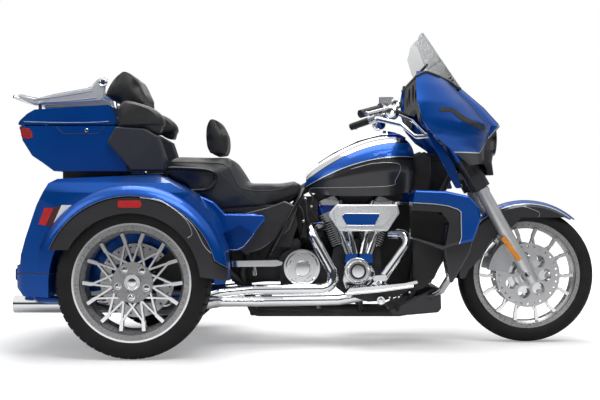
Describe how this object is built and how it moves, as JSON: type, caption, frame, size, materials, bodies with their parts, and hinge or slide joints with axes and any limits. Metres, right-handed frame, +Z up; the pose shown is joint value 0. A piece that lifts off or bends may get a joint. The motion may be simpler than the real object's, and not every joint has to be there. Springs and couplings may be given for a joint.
{
  "type": "motorized trike",
  "caption": "Full-dress touring trike with a steered front wheel, a fork-mounted fairing, an air-cooled V twin, and a wide trunk body over driven rear wheels",
  "frame": {"origin": "on the ground, midway along the overall length and width", "axes": "+X forward, +Y to the rider's left, +Z up"},
  "size_m": [2.7199, 1.39, 1.4619],
  "materials": {
    "belt_rubber": "matt",
    "black_paint": "gloss",
    "black_satin": "satin",
    "blue_paint": "gloss metallic",
    "cast_black": "wrinkle coated with machined fin edges",
    "chrome": "polished",
    "dash_plastic": "matt",
    "disc_steel": "brushed",
    "grey_paint": "satin metallic",
    "grip_rubber": "matt",
    "lamp_glass": "polished",
    "red_lens": "gloss",
    "seat_cover": "satin",
    "silver_metal": "satin",
    "smoked_screen": "polished",
    "tyre_rubber": "matt"
  },
  "bodies": {
    "chassis": {"frame": "black_satin", "rear_axle": "black_satin", "drive_belt": "belt_rubber", "crankcase": "cast_black", "cylinders": "cast_black", "rocker_boxes": "blue_paint", "tappet_blocks": "blue_paint", "pushrod_tubes": "chrome", "engine_covers": "chrome", "gearbox": "cast_black", "primary_cover": "chrome", "air_cleaner": "silver_metal", "fuel_tank": "blue_paint", "tank_console": "blue_paint", "seat": "seat_cover", "battery_box": "black_satin", "oil_cooler": "cast_black", "rider_backrest": "seat_cover", "grab_rails": "black_paint", "side_covers": "grey_paint", "lower_fairings": "blue_paint", "lower_fairing_legs": "grey_paint", "engine_guard": "chrome", "chin_spoiler": "grey_paint", "footboards": "chrome", "foot_controls": "chrome", "exhausts": "chrome", "rear_body": "blue_paint", "rear_lamps": "red_lens", "rear_bumper": "blue_paint", "luggage_mount": "black_satin", "luggage_box": "blue_paint", "speaker_pods": "black_paint", "armrests": "seat_cover"},
    "steering": {"fork_sliders": "chrome", "triple_clamps": "black_satin", "handlebar": "chrome", "grips": "grip_rubber", "hand_controls": "chrome", "fork_cover_lower": "grey_paint", "fork_cover_upper": "blue_paint", "front_fender": "blue_paint", "front_calipers": "silver_metal", "fairing_outer": "blue_paint", "headlamp": "lamp_glass", "fairing_inner": "dash_plastic", "windshield": "smoked_screen"},
    "front_wheel": {"front_rim": "silver_metal", "front_tyre": "tyre_rubber", "front_discs": "disc_steel"},
    "rear_wheel_right": {"rear_rim_right": "silver_metal", "rear_tyre_right": "tyre_rubber", "rear_disc_right": "disc_steel"},
    "rear_wheel_left": {"rear_rim_left": "silver_metal", "rear_tyre_left": "tyre_rubber", "rear_disc_left": "disc_steel"},
    "luggage_lid": {"luggage_lid": "blue_paint", "luggage_rack": "chrome", "passenger_backrest": "seat_cover"},
    "trunk_door": {"trunk_door": "blue_paint"}
  },
  "joints": [
    {"name": "steering", "type": "hinge", "parent": "chassis", "child": "steering", "pos_m": [0.75081, 0, 0.8], "axis": [-0.4384, 0, 0.8988], "range_deg": [-30, 30]},
    {"name": "front_wheel_spin", "type": "hinge", "parent": "steering", "child": "front_wheel", "pos_m": [1.041, 0, 0.319], "axis": [0, 1, 0], "continuous": true},
    {"name": "rear_wheel_right_spin", "type": "hinge", "parent": "chassis", "child": "rear_wheel_right", "pos_m": [-0.735, -0.542, 0.325], "axis": [0, 1, 0], "continuous": true},
    {"name": "rear_wheel_left_spin", "type": "hinge", "parent": "chassis", "child": "rear_wheel_left", "pos_m": [-0.735, 0.542, 0.325], "axis": [0, 1, 0], "continuous": true},
    {"name": "luggage_lid_hinge", "type": "hinge", "parent": "chassis", "child": "luggage_lid", "pos_m": [-1.08, 0.295, 1.009], "axis": [-1, 0, 0], "range_deg": [0, 75]},
    {"name": "trunk_door_hinge", "type": "hinge", "parent": "chassis", "child": "trunk_door", "pos_m": [-1.22, 0, 0.464], "axis": [0, -1, 0], "range_deg": [0, 105]}
  ]
}
